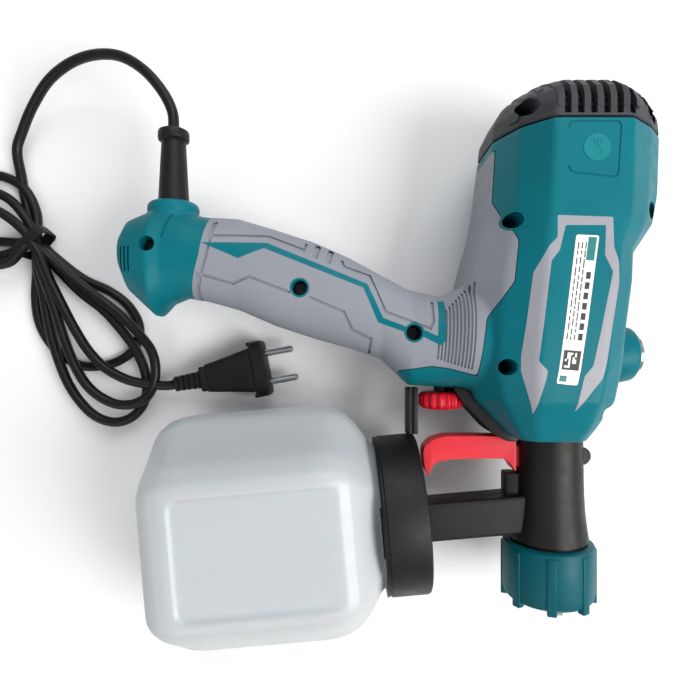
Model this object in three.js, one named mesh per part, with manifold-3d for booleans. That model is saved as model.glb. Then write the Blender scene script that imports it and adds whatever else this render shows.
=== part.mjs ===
// Turbine (HVLP) paint spray gun with its container, lying on its side.
// Millimetres. +X points to the top of the gun, +Y to its rear and +Z up from the surface it lies on.
// The nozzle faces -Y, so the half that faces up is the right-hand one.
import * as THREE from 'three';
import { mergeVertices } from 'three/addons/utils/BufferGeometryUtils.js';
import Module from 'manifold-3d';

const wasm = await Module();
wasm.setup();

// ---------------------------------------------------------------- driving dimensions
const GAP = 0.3;            // clearance between pieces that touch
const MID = 52;             // height of the seam plane between the two halves
const WALL = 2.6;           // housing wall
const OVERMOLD = 2;         // thickness of the soft grip skin
const BARREL = { x: 117, z: MID };
const MOTOR = { x: 113, z: MID };
const SEAM_Y = 116;         // plane between the housing and the rear cap
const PIVOT = { x: 136, y: -61.5 };
const KNOB = { x: 54, z: MID };
const CONTAINER = { x: 17, y: -97, tilt: 5 };   // mouth of the container, and the slope of its axis
const CORD_RADIUS = 3.2;
const CORD_EXIT = [-104.4, 130.8, MID];
const PLUG = { x: -116, y: -22.7, z: 13.5, turn: 10.4 };

// Housing sections across Y: [y, left, right, flat from, flat to, half thickness, half height of the side].
const BODY = [
  [-49, 91, 129, 99, 122, 34, 16],
  [-42, 84, 134, 97, 124, 40, 18],
  [-27, 70, 146.5, 95, 126, 48, 20],
  [-10, 64, 149, 94, 128, 51, 22],
  [12, 64, 151, 95, 129, 52, 24],
  [36, 65, 153, 98, 133, 52, 25],
  [52, 69, 153.5, 98, 134, 52, 24],
  [68, 73.5, 164, 100, 139, 52, 22],
  [84, 76, 166.5, 101, 140, 52, 20],
  [SEAM_Y, 79.5, 169, 102, 141, 52, 18],
];
const CAP = [
  [SEAM_Y + GAP, 79.5, 169, 102, 141, 52, 18],
  [125, 80.5, 168, 103, 141, 51.6, 18],
  [132, 84, 163, 106, 138, 49, 18],
  [138, 90, 157, 109, 135, 42, 17],
  [143.5, 100, 148, 113, 132, 29, 14],
];
// Handle sections across X: [x, upper edge, lower edge, half thickness].
const HANDLE = [
  [-132.5, 68, 45, 15],
  [-128, 76, 34, 20],
  [-115, 82, 21, 23],
  [-106, 82.5, 26.5, 23],
  [-96, 80, 30.5, 22.5],
  [-83, 77.5, 28.5, 21.5],
  [-65, 76.5, 23.5, 21.5],
  [-43, 70, 14, 22],
  [-20, 62.5, 6.5, 22.5],
  [0, 53.5, 1, 23],
  [18, 43.5, -5, 24],
  [34, 35, -20.5, 26],
  [52, 31, -21.5, 30],
  [64, 36, -22.5, 36],
  [74, 42, -26, 38],
];
const GRIP_OUTLINE = [
  [-80, 95], [-80, 74.5], [-84, 52], [-91, 28], [-95, 0], [27, -40], [27.3, -11.4], [44.7, -8.7],
  [53.4, -9.8], [68, -13.6], [71.5, 16.3], [83.7, 35], [86, 56], [80, 71], [77.5, 80], [80, 110],
  [50, 110], [50, 95],
];
const TRIM_OUTLINE = [
  [103, 67], [130.5, 66], [131, 51], [133.5, 44], [134, 32.5], [128, -5.5], [126, -14.5],
  [114, -31.5], [117, -13], [121, -8], [130.5, 39], [126.5, 47], [127, 62], [107, 62],
  [104, 49.5], [100, 44.5], [94, -5.5], [98.5, -10.5], [98, -14.5], [93.5, -33], [86.5, -10.5],
  [86.5, -3], [92, 39], [99, 52], [103, 56],
];
const LABEL_OUTLINE = [[112, 57.5], [123.8, 57], [114, -18], [103, -17]];
const HOUSING_SCREWS = [[-112, 58.6], [-27.8, 34.4], [35, 9.5], [84.5, 67], [81, -8.8], [160, 74], [136, -33]];
const CAP_SCREWS = [[92, 126], [159, 125]];

// ---------------------------------------------------------------- materials
const paint = (color, roughness, metalness = 0) =>
  new THREE.MeshStandardMaterial({ color, roughness, metalness });
const TEAL = paint(0x00808a, 0.4);
const DEEP_TEAL = paint(0x006a74, 0.45);
const GREY_RUBBER = paint(0xa3a1b0, 0.7);
const GREY_PLASTIC = paint(0xa9a7b4, 0.5);
const DARK_PLASTIC = paint(0x4a4a50, 0.6);
const BLACK_PLASTIC = paint(0x1b1b1d, 0.5);
const BLACK_RUBBER = paint(0x161617, 0.75);
const RED_PLASTIC = paint(0xe23a50, 0.45);
const MILKY_PLASTIC = paint(0xd8dde0, 0.4);
const LABEL_FILM = paint(0xf4f4f2, 0.5);
const STEEL = paint(0xb4b6ba, 0.3, 1);
const BRASS = paint(0xb99a52, 0.35, 1);
const IRON = paint(0x6c6d70, 0.5, 1);
const COPPER = paint(0xb06a3a, 0.4, 1);
const FOAM = paint(0x2c2c2e, 0.95);
const WHITE_PLASTIC = paint(0xe9e9e6, 0.4);

// ---------------------------------------------------------------- solids
// A closed three.js geometry as a solid, with its shared points merged and its faces pointing out.
function solidOf(shape) {
  if (!shape.isBufferGeometry) return shape;
  const bare = new THREE.BufferGeometry();
  bare.setAttribute('position', shape.getAttribute('position').clone());
  if (shape.index) bare.setIndex(shape.index.clone());
  const merged = mergeVertices(bare, 1e-4);
  const place = merged.getAttribute('position');
  const corners = [];
  let volume = 0;
  const [a, b, c] = [new THREE.Vector3(), new THREE.Vector3(), new THREE.Vector3()];
  for (let i = 0; i < merged.index.count; i += 3) {
    const [p, q, r] = [0, 1, 2].map((k) => merged.index.getX(i + k));
    if (p === q || q === r || r === p) continue;
    corners.push(p, q, r);
    a.fromBufferAttribute(place, p);
    b.fromBufferAttribute(place, q);
    c.fromBufferAttribute(place, r);
    volume += a.dot(b.cross(c));
  }
  if (volume < 0) corners.reverse();
  return new wasm.Manifold(new wasm.Mesh({
    numProp: 3,
    vertProperties: Float32Array.from(place.array),
    triVerts: Uint32Array.from(corners),
  }));
}

function geometryOf(shape) {
  const mesh = solidOf(shape).getMesh();
  const geometry = new THREE.BufferGeometry();
  geometry.setAttribute('position', new THREE.BufferAttribute(mesh.vertProperties, 3));
  geometry.setIndex(new THREE.BufferAttribute(mesh.triVerts, 1));
  geometry.computeVertexNormals();
  return geometry;
}

const join = (...shapes) => shapes.map(solidOf).reduce((sum, shape) => sum.add(shape));
const cut = (first, ...rest) => rest.map(solidOf).reduce((sum, shape) => sum.subtract(shape), solidOf(first));
const common = (...shapes) => shapes.map(solidOf).reduce((sum, shape) => sum.intersect(shape));

// A box from its lowest and highest place along each axis.
function box([x0, x1], [y0, y1], [z0, z1]) {
  const geometry = new THREE.BoxGeometry(x1 - x0, y1 - y0, z1 - z0);
  return geometry.translate((x0 + x1) / 2, (y0 + y1) / 2, (z0 + z1) / 2);
}

// An outline in the XY plane, drawn up from one height to another.
function prism(outline, z0, z1) {
  const shape = new THREE.Shape(outline.map(([x, y]) => new THREE.Vector2(x, y)));
  const geometry = new THREE.ExtrudeGeometry(shape, { depth: z1 - z0, bevelEnabled: false });
  return geometry.translate(0, 0, z0);
}

// A turned solid: profile points are [radius, place along the axis], the axis runs through centre.
function turned(axis, centre, profile, sides = 16) {
  const points = [...profile, profile[0]].map(([radius, along]) => new THREE.Vector2(radius, along));
  const geometry = new THREE.LatheGeometry(points, sides);
  if (axis === 'x') geometry.rotateZ(-Math.PI / 2);
  if (axis === 'z') geometry.rotateX(Math.PI / 2);
  return geometry.translate(...centre);
}

// A plain cylinder between two places along its axis.
function rod(axis, centre, radius, from, to, sides = 12) {
  return turned(axis, centre, [[0, from], [radius, from], [radius, to], [0, to]], sides);
}

// A skin over sections that have the same number of points, closed at both ends.
function loft(sections) {
  const count = sections[0].length;
  const points = sections.flat();
  const corners = [];
  for (let i = 0; i + 1 < sections.length; i += 1) {
    for (let j = 0; j < count; j += 1) {
      const [p, q] = [i * count + j, i * count + (j + 1) % count];
      corners.push(p, q, q + count, p, q + count, p + count);
    }
  }
  const last = (sections.length - 1) * count;
  for (let j = 1; j + 1 < count; j += 1) corners.push(0, j + 1, j, last, last + j, last + j + 1);
  const geometry = new THREE.BufferGeometry();
  geometry.setAttribute('position', new THREE.Float32BufferAttribute(points.flat(), 3));
  geometry.setIndex(corners);
  return geometry;
}

// A round tube or rod along a smooth curve through the given points.
function tubeAlong(points, radius, sides, steps) {
  const path = new THREE.CatmullRomCurve3(points.map((point) => new THREE.Vector3(...point)));
  const ring = Array.from({ length: sides }, (_, i) => {
    const angle = (2 * Math.PI * i) / sides;
    return new THREE.Vector2(radius * Math.cos(angle), radius * Math.sin(angle));
  });
  return new THREE.ExtrudeGeometry(new THREE.Shape(ring), { steps, extrudePath: path, bevelEnabled: false });
}

const RIGHT_SIDE = box([-400, 400], [-400, 400], [MID + GAP / 2, 300]);
const LEFT_SIDE = box([-400, 400], [-400, 400], [-300, MID - GAP / 2]);

// ---------------------------------------------------------------- housing
// One section of the motor housing or the cap: an octagon with rounded flanks, moved in by an inset.
function bodySection([y, left, right, flatFrom, flatTo, half, side], inset) {
  const [a, b] = [left + inset, right - inset];
  const [c, d] = [flatFrom + inset * 0.3, flatTo - inset * 0.3];
  const [top, knee] = [half - inset, side - inset * 0.4];
  const crown = (top + knee) / 2 + 4;
  const upper = [[a, knee], [(a + c) / 2 - 2, crown], [c, top], [d, top], [(b + d) / 2 + 2, crown], [b, knee]];
  const lower = upper.map(([x, z]) => [x, -z]).reverse();
  return [...upper, ...lower].map(([x, z]) => [x, y, MID + z]);
}

function bodyForm(sections, inset, frontInset, rearShift) {
  const moved = sections.map((section) => [...section]);
  moved[0][0] += frontInset;
  moved[moved.length - 1][0] += rearShift;
  return solidOf(loft(moved.map((section) => bodySection(section, inset))));
}

// One section of the handle: a rounded oval with flattish sides.
function handleSection([x, upper, lower, half], inset) {
  const [middle, reach] = [(upper + lower) / 2, (upper - lower) / 2 - inset];
  const soft = (value) => Math.sign(value) * Math.abs(value) ** 0.8;
  return Array.from({ length: 12 }, (_, i) => {
    const angle = (Math.PI * i) / 6;
    return [x, middle + reach * soft(Math.cos(angle)), MID + (half - inset) * soft(Math.sin(angle))];
  });
}

function handleForm(inset) {
  const sections = HANDLE.map((section) => [...section]);
  sections[0][0] += inset;
  return solidOf(loft(sections.map((section) => handleSection(section, inset))));
}

const COLLAR = { x: -104.4, from: 76, to: 86, radius: 14.2 };
const BOSS = { y: -2.5, from: 141, to: 165.7, radius: 16.5 };

// The outside of the housing at a given inset, without the cap.
function housingForm(inset, rearShift) {
  return join(bodyForm(BODY, inset, inset, rearShift), handleForm(inset));
}

function housingOutside() {
  const collar = rod('y', [COLLAR.x, 0, MID], COLLAR.radius, COLLAR.from, COLLAR.to, 16);
  const boss = rod('x', [0, BOSS.y, MID], BOSS.radius, BOSS.from, BOSS.to, 20);
  return join(housingForm(0, 0), collar, boss);
}

const SCREW = { head: 3.4, shank: 1.8, headHeight: 2.4, top: 12, bottom: -12 };

// A screw pillar through both halves, from wall to wall.
const pillars = (places, outside) =>
  common(join(...places.map(([x, y]) => rod('z', [x, y, 0], 5, -5, 110, 8))), outside);

// What the screws need cut out of the pillars: a recess for the head and a bore for the shank.
const screwBores = (places) => join(...places.flatMap(([x, y]) => [
  rod('z', [x, y, MID], SCREW.head + 0.7, SCREW.top, 60, 8),
  rod('z', [x, y, MID], SCREW.shank + GAP + 0.1, SCREW.bottom - 1, SCREW.top + 1, 6),
]));

const screw = ([x, y]) => join(
  rod('z', [x, y, MID], SCREW.head, SCREW.top + GAP, SCREW.top + SCREW.headHeight, 8),
  rod('z', [x, y, MID], SCREW.shank, SCREW.bottom, SCREW.top + 1, 6),
);

const region = (outline) => prism(outline, -5, 110);
const TRIGGER_SLOT = { half: 8.2, x: [76, 101], y: [-52, -36] };

function housing() {
  const outside = housingOutside();
  const hollow = housingForm(WALL + OVERMOLD, 5);
  const shell = join(cut(outside, hollow), pillars(HOUSING_SCREWS, outside));
  const skinBed = cut(region(GRIP_OUTLINE), housingForm(OVERMOLD + GAP, 5));
  const trimBed = cut(region(TRIM_OUTLINE), housingForm(1.2 + GAP, 5));
  const guardBore = rod('y', [COLLAR.x, 0, MID], 10.1, COLLAR.from - 8, COLLAR.to + 1, 12);
  const barrelBore = rod('y', [BARREL.x, 0, BARREL.z], 19.9, -55, -39, 20);
  const flowBore = rod('y', [KNOB.x, 0, KNOB.z], 4.9, -30, -8, 12);
  const { half, x, y } = TRIGGER_SLOT;
  const triggerSlot = box(x, y, [MID - half, MID + half]);
  const whole = cut(
    shell, screwBores(HOUSING_SCREWS), skinBed, trimBed, guardBore, barrelBore, flowBore, triggerSlot,
  );
  return { right: common(whole, RIGHT_SIDE), left: common(whole, LEFT_SIDE) };
}

// The soft skin and the hard inlay lie in beds cut into the housing.
function inlay(outline, depth, screws) {
  const piece = cut(common(housingForm(0, 0), region(outline)), housingForm(depth, 5));
  const holes = screws.map(([x, y]) => rod('z', [x, y, 0], 5.6, -5, 110, 8));
  return cut(piece, ...holes);
}

const VENTS = { count: 6, first: 106.6, step: 6.5, width: 3.2, from: 119.5 };

function rearCap() {
  const outside = bodyForm(CAP, 0, 0, 0);
  const hollow = bodyForm(CAP, WALL, -5, -WALL);
  const shell = join(cut(outside, hollow), pillars(CAP_SCREWS, outside));
  const slots = Array.from({ length: VENTS.count }, (_, i) => VENTS.first + i * VENTS.step);
  const vents = slots.flatMap((x) => [
    box([x, x + VENTS.width], [VENTS.from, 150], [MID + 10, 110]),
    box([x, x + VENTS.width], [VENTS.from, 150], [-5, MID - 10]),
  ]);
  const whole = cut(shell, screwBores(CAP_SCREWS), ...vents);
  return { right: common(whole, RIGHT_SIDE), left: common(whole, LEFT_SIDE) };
}

function airFilter() {
  const sheet = CAP.slice(0, 2).map((section) => [...section]);
  sheet[0][0] = 118;
  sheet[1][0] = 123;
  const holes = CAP_SCREWS.map(([x, y]) => rod('z', [x, y, 0], 6, -5, 110, 8));
  return cut(loft(sheet.map((section) => bodySection(section, WALL + 2))), ...holes);
}

// ---------------------------------------------------------------- motor and turbine
const onMotor = (profile, sides = 16) => turned('y', [MOTOR.x, 0, MOTOR.z], profile, sides);
const ring = (inner, outer, from, to) => [[inner, from], [outer, from], [outer, to], [inner, to]];

const stator = () => onMotor(ring(15, 22, 42, 78));
const bearing = (from) => onMotor(ring(4.4, 11, from, from + 7), 12);
const rotor = () => onMotor([
  [0, 4], [4, 4], [4, 44], [14.2, 44], [14.2, 76], [9, 76.5], [9, 86], [4, 86.5], [4, 100], [0, 100],
], 12);

const BLADES = { count: 9, inner: 8, outer: 29, thick: 1.2 };

function impeller() {
  const disc = onMotor([[4.4, 8], [30, 8], [30, 10], [9, 11], [9, 22], [4.4, 22]]);
  const blades = Array.from({ length: BLADES.count }, (_, i) => {
    const blade = box([BLADES.inner, BLADES.outer], [-BLADES.thick, 0], [0, 10]);
    blade.rotateX(-Math.PI / 2).rotateY((2 * Math.PI * i) / BLADES.count);
    return blade.translate(MOTOR.x, 9.5, MOTOR.z);
  });
  return join(disc, ...blades);
}

// The fixed plate in front of the turbine, which leads the air to the middle.
const airGuide = () => onMotor(ring(14, 31, 0, 3));

// ---------------------------------------------------------------- barrel, feed and spray head
const onBarrel = (profile, sides = 20) => turned('y', [BARREL.x, 0, BARREL.z], profile, sides);

// Moves a shape from the container's own frame (x along its axis, from its mouth) to its place.
function tilted(geometry) {
  geometry.rotateZ(THREE.MathUtils.degToRad(CONTAINER.tilt));
  return geometry.translate(CONTAINER.x, CONTAINER.y, MID);
}

const FEED = { side: -5, half: 11, from: 25.3, to: 84 };
const TUBE = 3;             // radius of the pick-up tube

function barrel() {
  const tube = onBarrel([
    [14, -40], [19.5, -40], [19.5, -84], [20.5, -96], [22.5, -110], [21, -110.2], [21, -127], [16, -127],
    [16, -43], [14, -43],
  ]);
  const bump = rod('z', [PIVOT.x, PIVOT.y, MID], 6.5, -13, 13, 12);
  const seat = box([102, 132.5], [-43, -40], [MID - 3, MID + 3]);
  const { side, half, from, to } = FEED;
  const arm = tilted(box([from, to], [side - half, side + half], [-half, half]));
  const airway = onBarrel([[0, -127.5], [16, -127.5], [16, -43], [0, -43]]);
  const feedBore = tilted(rod('x', [0, side, 0], TUBE + 0.4, from - 1, 100, 12));
  const notch = box([94, 110], [-71.5, -39], [MID - 5.6, MID + 5.6]);
  const pocket = box([110, 141], [-68, -55], [MID - 5.6, MID + 5.6]);
  const pinBore = rod('z', [PIVOT.x, PIVOT.y, MID], 2.2, -12, 20, 10);
  const tailBore = onBarrel([[0, -45], [1.8, -45], [1.8, -38], [0, -38]], 8);
  return cut(join(cut(join(tube, bump, arm), airway), seat), feedBore, notch, pocket, pinBore, tailBore);
}

const TRIGGER_FINGER = [
  [96.3, -51.5], [91, -50.4], [70, -49.8], [53, -50.3], [45, -53.5], [42.2, -59], [42.6, -69],
  [46, -72.5], [48, -66.5], [59, -63.3], [75, -62.9], [91, -63.2], [96.3, -68],
];
const TRIGGER_ARM = [[92, -55], [100, -56], [132, -57.8], [137, -58], [137, -65], [132, -65.3], [100, -68.5], [92, -63]];

function trigger() {
  const finger = prism(TRIGGER_FINGER, MID - 7, MID + 7);
  const arm = prism(TRIGGER_ARM, MID - 5, MID + 5);
  const eye = rod('z', [PIVOT.x, PIVOT.y, MID], 4.4, -5, 5, 16);
  const pinBore = rod('z', [PIVOT.x, PIVOT.y, MID], 2.2, -8, 8, 10);
  const needleBore = onBarrel([[0, -75], [3, -75], [3, -50], [0, -50]], 12);
  return cut(join(finger, arm, eye), pinBore, needleBore);
}

const triggerPin = () => rod('z', [PIVOT.x, PIVOT.y, MID], 1.9, -11.7, 12.7, 10);

const needle = () => onBarrel([
  [0, -147], [1.3, -142], [1.3, -55.8], [3.4, -55.8], [3.4, -53.8], [1.3, -53.8], [1.3, -38], [0, -38],
], 12);
const needleSpring = () => onBarrel(ring(1.8, 3.4, -53.5, -43.3), 12);

function fluidNozzle() {
  const body = onBarrel([
    [1.6, -76], [7.5, -76], [7.5, -109], [15.6, -109], [15.6, -112], [7.5, -112], [7.5, -128],
    [3.2, -144], [1.6, -144],
  ], 16);
  const feedHole = tilted(rod('x', [0, FEED.side, 0], TUBE + 0.4, 80, 100, 10));
  const holes = Array.from({ length: 6 }, (_, i) => {
    const angle = (Math.PI * (2 * i + 1)) / 6;
    const centre = [BARREL.x + 11.5 * Math.cos(angle), 0, BARREL.z + 11.5 * Math.sin(angle)];
    return rod('y', centre, 2.4, -115, -106, 6);
  });
  return cut(body, feedHole, ...holes);
}

function airCap() {
  const cap = onBarrel([[3.6, -129], [20.6, -127.5], [20.6, -131], [16.4, -131.5], [16.4, -146.5], [3.6, -146.5]]);
  const chamber = onBarrel([[0, -120], [13.5, -120], [13.5, -141], [4, -144], [0, -144]]);
  const horns = [-1, 1].map((side) => {
    const horn = prism([[-4.5, -146], [4.5, -146], [3, -150.5], [-3, -150.5]], 0, 5);
    return horn.translate(BARREL.x, 0, BARREL.z + side * 12 - 2.5);
  });
  return join(cut(cap, chamber), ...horns);
}

function unionNut() {
  const shell = onBarrel([
    [21.5, -112], [26, -112], [26.2, -139], [24.5, -146], [17, -146], [17, -131.9], [21.5, -131.4],
  ], 24);
  const ribs = Array.from({ length: 12 }, (_, i) => {
    const rib = box([25, 27], [-146, -118], [-2, 2]);
    return rib.rotateY((2 * Math.PI * i) / 12).translate(BARREL.x, 0, BARREL.z);
  });
  return join(shell, ...ribs);
}

// ---------------------------------------------------------------- flow control
const onKnob = (profile, sides = 12) => turned('y', [KNOB.x, 0, KNOB.z], profile, sides);
const flowScrew = () => onKnob([[0, -30], [2.5, -30], [2.5, -24], [4.5, -24], [4.5, -6], [0, -6]]);
const knobScrew = () => onKnob([[0, -34.2], [3.5, -34.2], [3.5, -32.4], [1.8, -32.4], [1.8, -30.4], [0, -30.4]]);

function flowKnob() {
  const disc = onKnob([[2.9, -24.3], [12, -24.3], [12, -34.5], [4, -34.5], [4, -32], [2.9, -32]], 16);
  const flutes = Array.from({ length: 8 }, (_, i) => {
    const angle = (2 * Math.PI * i) / 8;
    const centre = [KNOB.x + 12.2 * Math.cos(angle), 0, KNOB.z + 12.2 * Math.sin(angle)];
    return rod('y', centre, 1.6, -33.8, -25, 6);
  });
  return join(disc, ...flutes);
}

// ---------------------------------------------------------------- container and lid
// Quarter outline of the container across its axis: [across, up], from its widest point to its top.
const CONTAINER_QUARTER = [[68, 0], [65, 13], [54, 28], [45, 43], [36, 52], [0, 52]];
const NECK_ANGLES = [0, 16, 34, 52, 66, 90];
// Stations along the axis: [place, share of the full outline, size of it, neck radius].
const CONTAINER_STATIONS = [
  [-125, 1, 0.87, 40], [-122, 1, 0.95, 40], [-115, 1, 1, 40], [-30, 1, 1, 40], [-20, 0.88, 1, 40],
  [-11, 0.6, 1, 40], [-5, 0.28, 1, 40], [-1.5, 0.04, 1, 40], [3, 0, 1, 40], [19, 0, 1, 40],
];

function containerSection([along, share, size, neck], inset) {
  const quarter = CONTAINER_QUARTER.map(([across, up], i) => {
    const angle = THREE.MathUtils.degToRad(NECK_ANGLES[i]);
    const mix = (full, round, trim) => share * (full * size - trim) + (1 - share) * round;
    return [
      mix(across, (neck - inset) * Math.cos(angle), across > 0 ? inset : 0),
      mix(up, (neck - inset) * Math.sin(angle), up > 0 ? inset : 0),
    ];
  });
  const half = [...quarter, ...quarter.slice(0, -1).reverse().map(([across, up]) => [-across, up])];
  const under = half.slice(1, -1).reverse().map(([across, up]) => [across, -up]);
  return [...half, ...under].map(([across, up]) => [along, across, up]);
}

function containerForm(inset, baseInset, mouthShift) {
  const stations = CONTAINER_STATIONS.map((station) => [...station]);
  stations[0][0] += baseInset;
  stations[stations.length - 1][0] += mouthShift;
  return tilted(loft(stations.map((station) => containerSection(station, inset))));
}

const PANEL = { from: -112, to: -8, half: 31, depth: 1.2 };

function container() {
  const panels = [-1, 1].map((side) => {
    const [low, high] = side > 0 ? [52 - PANEL.depth, 60] : [-60, PANEL.depth - 52];
    return tilted(box([PANEL.from, PANEL.to], [-PANEL.half, PANEL.half], [low, high]));
  });
  return cut(containerForm(0, 0, 0), containerForm(3, 3, 5), ...panels);
}

const LID = { radius: 45.5, skirt: 41, top: 25, plate: 4.2 };
const onLid = (profile, sides = 24) => tilted(turned('x', [0, 0, 0], profile, sides));

function lid() {
  const { radius, skirt, top, plate } = LID;
  const cup = onLid([
    [0, top], [radius - 1.5, top], [radius, top - 1.5], [radius, 0.5], [skirt, 0.5], [skirt, top - plate],
    [0, top - plate],
  ]);
  return cut(cup, tilted(rod('x', [0, FEED.side, 0], TUBE + 0.4, 15, 30, 12)));
}

const lidGasket = () => onLid(ring(33, 39.6, 19.3, 20.5));

function pickupTube() {
  return tilted(turned('x', [0, FEED.side, 0], ring(1.6, TUBE, -100, 93), 8));
}

function strainer() {
  const { side } = FEED;
  return tilted(turned('x', [0, side, 0], [[TUBE + GAP, -92], [6, -92], [7, -108], [0, -108], [0, -100.5],
    [TUBE + GAP, -100.5]], 12));
}

// The tube that carries air pressure from the housing to the lid.
function pressureTube() {
  const tube = box([32.8, 39.8], [-49.2, -22], [MID - 5, MID + 5]);
  const groove = box([35.1, 37.5], [-46, -25], [MID + 4, MID + 6]);
  return cut(tube, groove);
}

// ---------------------------------------------------------------- cord, guard and plug
const guardProfile = [
  [3.6, 77], [9.6, 77], [9.6, 86.3], [8.8, 87], [6.9, 123], [8.8, 123.6], [8.8, 129], [6, 130.5], [3.6, 130.5],
];
const cordGuard = () => turned('y', [COLLAR.x, 0, MID], guardProfile, 12);

const INTERNAL_LEAD = [
  [CORD_EXIT[0], 130.2, MID], [CORD_EXIT[0], 95, MID], [CORD_EXIT[0], 76, MID], [-99, 60, MID],
  [-82, 52, MID], [-55, 53, MID], [-28, 50, MID], [0, 37, MID], [32, 23, MID], [56, 5, MID],
  [69, -8, MID], [75.5, -17.5, MID], [81.5, -23.2, MID],
];
const internalLead = () => tubeAlong(INTERNAL_LEAD, 3, 8, 26);
const cordClamp = () => box([-106, -90], [50, 70], [MID + 3.6, MID + 7]);

// The lead from the guard, down to the surface and round to the hank.
const LEAD_ROUTE = [
  CORD_EXIT, [-105.2, 141, 52], [-111, 153, 52], [-123, 167, 50], [-139, 177.5, 46], [-158, 182, 39],
  [-177, 181, 31], [-195, 174, 23], [-210, 161, 15], [-220, 147, 9.5], [-225.5, 135, 6.5], [-226, 124.9, 5.5],
];
const lead = () => tubeAlong(LEAD_ROUTE, CORD_RADIUS, 10, 20);

// Outer shape of the loops that lie tied together beside the handle.
const HANK_OUTLINE = [
  [-219, 124.2], [-260, 124.2], [-282, 108], [-286, 78], [-262, 52], [-226, 40], [-219, 10], [-204, -24],
  [-180, -48], [-154, -57], [-132, -48], [-122, -27], [-122, 2], [-136, 26], [-160, 47], [-190, 63],
  [-205, 80], [-212, 108],
];
const hank = () => prism(HANK_OUTLINE, 0.2, 17);

const TAIL_ROUTE = [[-121.2, -23.7, 12.9], [-119.1, -23.3, 13.3], [-116.8, -22.85, PLUG.z]];
const tail = () => tubeAlong(TAIL_ROUTE, CORD_RADIUS - 0.2, 10, 3);

// Moves a shape from the plug's own frame (x along its pins, from the end of its relief) to its place.
function plugged(geometry) {
  geometry.rotateZ(THREE.MathUtils.degToRad(PLUG.turn));
  return geometry.translate(PLUG.x, PLUG.y, PLUG.z);
}

const PINS = { apart: 19, radius: 2.4, from: 62.3, to: 81.3 };

function plugBody() {
  const relief = plugged(turned('x', [0, 0, 0], [[0, 0], [4.6, 0], [6.2, 20], [0, 20]], 16));
  const oval = (along, across, up) => Array.from({ length: 16 }, (_, i) => {
    const angle = (Math.PI * i) / 8;
    return [along, across * Math.cos(angle), up * Math.sin(angle)];
  });
  const handle = plugged(loft([oval(19, 9.5, 8.5), oval(50, 13.5, 10.5), oval(54, 14, 11)]));
  const flange = plugged(loft([oval(53, 16, 11.5), oval(56, 18.5, 13.2), oval(62, 18.5, 13.2)]));
  return join(relief, handle, flange);
}

const plugPin = (side) => plugged(turned('x', [0, (side * PINS.apart) / 2, 0], [
  [0, PINS.from], [PINS.radius, PINS.from], [PINS.radius, PINS.to - 1], [PINS.radius - 0.8, PINS.to],
  [0, PINS.to],
], 12));

// ---------------------------------------------------------------- assembly
const housings = housing();
const caps = rearCap();
const topBadge = () => rod('x', [0, BOSS.y, MID], 11.5, BOSS.to + GAP, BOSS.to + 3, 16);
const grip = inlay(GRIP_OUTLINE, OVERMOLD, HOUSING_SCREWS);
const trim = inlay(TRIM_OUTLINE, 1.2, []);
const label = common(cut(housingForm(-0.9, 0), housingForm(-GAP, 5)), prism(LABEL_OUTLINE, MID + 40, 110));

function triggerSwitch() {
  const body = box([84, 99], [-33, -21], [MID - 6, MID + 6]);
  return join(body, box([89, 92], [-38, -32], [MID - 2, MID + 2]));
}

const PIECES = [
  ['right_housing', housings.right, TEAL],
  ['left_housing', housings.left, TEAL],
  ['right_rear_cap', caps.right, DARK_PLASTIC],
  ['left_rear_cap', caps.left, DARK_PLASTIC],
  ['right_grip', common(grip, RIGHT_SIDE), GREY_RUBBER],
  ['left_grip', common(grip, LEFT_SIDE), GREY_RUBBER],
  ['right_trim', common(trim, RIGHT_SIDE), GREY_PLASTIC],
  ['left_trim', common(trim, LEFT_SIDE), GREY_PLASTIC],
  ['rating_label', label, LABEL_FILM],
  ['top_badge', topBadge(), STEEL],
  ['air_filter', airFilter(), FOAM],
  ['motor_stator', stator(), IRON],
  ['motor_rotor', rotor(), COPPER],
  ['front_bearing', bearing(28), STEEL],
  ['rear_bearing', bearing(89), STEEL],
  ['turbine_impeller', impeller(), WHITE_PLASTIC],
  ['air_guide', airGuide(), BLACK_PLASTIC],
  ['trigger_switch', triggerSwitch(), BLACK_PLASTIC],
  ['internal_lead', internalLead(), BLACK_RUBBER],
  ['cord_clamp', cordClamp(), BLACK_PLASTIC],
  ['cord_guard', cordGuard(), BLACK_RUBBER],
  ['barrel', barrel(), BLACK_PLASTIC],
  ['trigger', trigger(), RED_PLASTIC],
  ['trigger_pin', triggerPin(), STEEL],
  ['needle', needle(), STEEL],
  ['needle_spring', needleSpring(), STEEL],
  ['fluid_nozzle', fluidNozzle(), BRASS],
  ['air_cap', airCap(), GREY_PLASTIC],
  ['union_nut', unionNut(), DEEP_TEAL],
  ['flow_screw', flowScrew(), BLACK_PLASTIC],
  ['flow_knob', flowKnob(), RED_PLASTIC],
  ['knob_screw', knobScrew(), STEEL],
  ['container', container(), MILKY_PLASTIC],
  ['container_lid', lid(), BLACK_PLASTIC],
  ['lid_gasket', lidGasket(), BLACK_RUBBER],
  ['pickup_tube', pickupTube(), WHITE_PLASTIC],
  ['pickup_strainer', strainer(), WHITE_PLASTIC],
  ['pressure_tube', pressureTube(), BLACK_PLASTIC],
  ['plug_body', plugBody(), BLACK_RUBBER],
  ['plug_pin_1', plugPin(-1), STEEL],
  ['plug_pin_2', plugPin(1), STEEL],
  ['cord_lead', lead(), BLACK_RUBBER],
  ['cord_hank', hank(), BLACK_RUBBER],
  ['cord_tail', tail(), BLACK_RUBBER],
  ...HOUSING_SCREWS.map((place, i) => [`housing_screw_${i + 1}`, screw(place), STEEL]),
  ...CAP_SCREWS.map((place, i) => [`cap_screw_${i + 1}`, screw(place), STEEL]),
];
const CORD_PIECES = ['plug_body', 'plug_pin_1', 'plug_pin_2', 'cord_lead', 'cord_hank', 'cord_tail'];

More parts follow.
